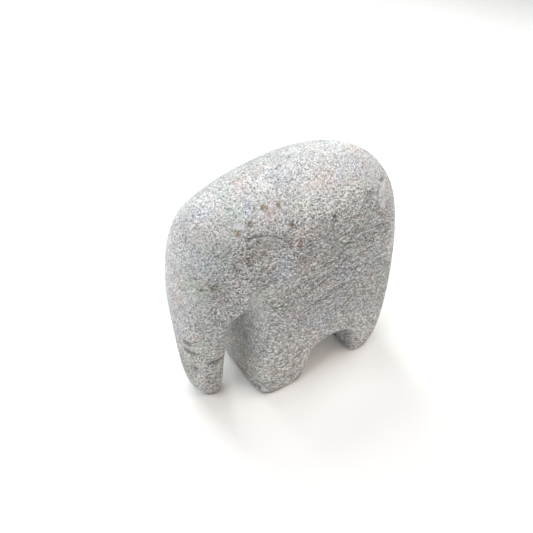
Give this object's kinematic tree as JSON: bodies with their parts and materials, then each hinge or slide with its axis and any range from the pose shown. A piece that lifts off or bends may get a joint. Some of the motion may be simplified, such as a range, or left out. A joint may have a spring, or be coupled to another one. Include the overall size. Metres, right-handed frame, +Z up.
{
  "type": "stone elephant figurine",
  "caption": "Solid carved stone elephant with a rounded back, a straight trunk that reaches the floor, broad leg blocks and a belly arch.",
  "frame": {"origin": "middle of the box round the figure, on the plane that its soles rest on", "axes": "+X forward through the face, +Y out of the left flank, +Z up"},
  "size_m": [0.0968, 0.045, 0.1],
  "materials": {
    "stone": "matte"
  },
  "bodies": {
    "root": {"carved_stone": "stone"}
  },
  "joints": []
}
